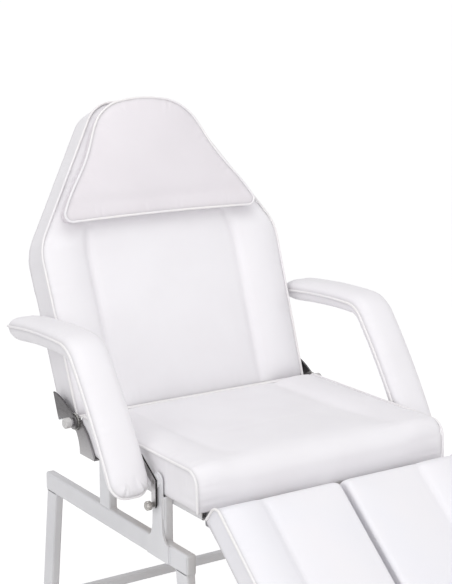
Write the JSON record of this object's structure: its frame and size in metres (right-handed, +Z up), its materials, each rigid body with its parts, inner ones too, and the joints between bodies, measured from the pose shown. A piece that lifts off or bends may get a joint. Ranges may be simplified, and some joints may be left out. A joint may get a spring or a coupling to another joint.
{
  "type": "reclining treatment chair",
  "caption": "Reclining padded treatment chair with head pillow, tilting arms and split leg rests, clamped by hand knobs on a raked steel frame.",
  "frame": {"origin": "on the floor, in the middle of the chair's width and length at rest", "axes": "+Z up, the sitter faces -Y, the sitter's right is -X"},
  "size_m": [0.7754, 1.154, 1.1916],
  "materials": {
    "white_vinyl": "soft matt vinyl over foam",
    "plywood": "raw birch plywood",
    "white_paint": "white powder coat",
    "chrome": "polished chrome plate",
    "black_paint": "black paint",
    "zinc": "zinc plate",
    "white_plastic": "moulded white plastic",
    "black_nylon": "moulded black nylon",
    "rubber": "matt black rubber"
  },
  "bodies": {
    "base": {"seat_cushion": "white_vinyl", "seat_board": "plywood", "seat_cross_rail_front": "white_paint", "seat_cross_rail_rear": "white_paint", "rear_stretcher": "white_paint", "seat_rail_right": "white_paint", "front_post_right": "white_paint", "rear_post_right": "white_paint", "side_rail_right": "white_paint", "front_leg_right": "white_paint", "rear_leg_right": "white_paint", "rubber_foot_front_right": "rubber", "rubber_foot_rear_right": "rubber", "arm_bracket_right": "white_paint", "back_hinge_lower_plate_right": "chrome", "leg_hinge_bracket_right": "white_paint", "back_pivot_bolt_right": "chrome", "leg_hinge_pin_right": "zinc", "seat_rail_left": "white_paint", "front_post_left": "white_paint", "rear_post_left": "white_paint", "side_rail_left": "white_paint", "front_leg_left": "white_paint", "rear_leg_left": "white_paint", "rubber_foot_front_left": "rubber", "rubber_foot_rear_left": "rubber", "arm_bracket_left": "white_paint", "back_hinge_lower_plate_left": "chrome", "leg_hinge_bracket_left": "white_paint", "back_pivot_bolt_left": "chrome", "leg_hinge_pin_left": "zinc"},
    "back": {"backrest_cushion": "white_vinyl", "backrest_board": "plywood", "back_cross_tube": "white_paint", "head_pillow": "white_vinyl", "back_hinge_upper_plate_right": "chrome", "back_hinge_upper_plate_left": "chrome", "back_lock_disc_right": "zinc", "back_lock_disc_left": "zinc"},
    "back_knob_right": {"back_clamp_knob_right": "white_plastic"},
    "back_knob_left": {"back_clamp_knob_left": "white_plastic"},
    "arm_right": {"arm_pad_right": "white_vinyl", "arm_base_right": "white_vinyl", "arm_strap_right": "white_paint", "arm_pivot_pin_right": "zinc"},
    "arm_knob_right": {"arm_lock_knob_right": "zinc"},
    "arm_left": {"arm_pad_left": "white_vinyl", "arm_base_left": "white_vinyl", "arm_strap_left": "white_paint", "arm_pivot_pin_left": "zinc"},
    "arm_knob_left": {"arm_lock_knob_left": "zinc"},
    "leg_rest_right": {"leg_cushion_right": "white_vinyl", "leg_board_right": "plywood", "leg_frame_right": "black_paint"},
    "leg_lever_right": {"leg_clamp_lever_right": "black_nylon"},
    "leg_rest_left": {"leg_cushion_left": "white_vinyl", "leg_board_left": "plywood", "leg_frame_left": "black_paint"},
    "leg_lever_left": {"leg_clamp_lever_left": "black_nylon"}
  },
  "joints": [
    {"name": "back_recline", "type": "hinge", "parent": "base", "child": "back", "pos_m": [0, 0.27064, 0.565], "axis": [-1, 0, 0], "range_deg": [-12, 68.7]},
    {"name": "back_clamp_knob_right_turn", "type": "hinge", "parent": "base", "child": "back_knob_right", "pos_m": [-0.3157, 0.27064, 0.565], "axis": [-1, 0, 0], "range_deg": [0, 360]},
    {"name": "back_clamp_knob_left_turn", "type": "hinge", "parent": "base", "child": "back_knob_left", "pos_m": [0.3157, 0.27064, 0.565], "axis": [1, 0, 0], "range_deg": [0, 360]},
    {"name": "arm_right_tilt", "type": "hinge", "parent": "base", "child": "arm_right", "pos_m": [-0.3014, -0.05036, 0.532], "axis": [-1, 0, 0], "range_deg": [-25, 25]},
    {"name": "arm_lock_knob_right_turn", "type": "hinge", "parent": "arm_right", "child": "arm_knob_right", "pos_m": [-0.3157, -0.05036, 0.487], "axis": [-1, 0, 0], "range_deg": [0, 360]},
    {"name": "arm_left_tilt", "type": "hinge", "parent": "base", "child": "arm_left", "pos_m": [0.3014, -0.05036, 0.532], "axis": [-1, 0, 0], "range_deg": [-25, 25]},
    {"name": "arm_lock_knob_left_turn", "type": "hinge", "parent": "arm_left", "child": "arm_knob_left", "pos_m": [0.3157, -0.05036, 0.487], "axis": [1, 0, 0], "range_deg": [0, 360]},
    {"name": "leg_rest_right_tilt", "type": "hinge", "parent": "base", "child": "leg_rest_right", "pos_m": [-0.1435, -0.20136, 0.479], "axis": [-1, 0, 0], "range_deg": [-35, 40]},
    {"name": "leg_lever_right_turn", "type": "hinge", "parent": "base", "child": "leg_lever_right", "pos_m": [-0.2146, -0.20136, 0.479], "axis": [1, 0, 0], "range_deg": [0, 40]},
    {"name": "leg_rest_left_tilt", "type": "hinge", "parent": "base", "child": "leg_rest_left", "pos_m": [0.1435, -0.20136, 0.479], "axis": [-1, 0, 0], "range_deg": [-35, 40]},
    {"name": "leg_lever_left_turn", "type": "hinge", "parent": "base", "child": "leg_lever_left", "pos_m": [0.2146, -0.20136, 0.479], "axis": [1, 0, 0], "range_deg": [0, 40]}
  ]
}
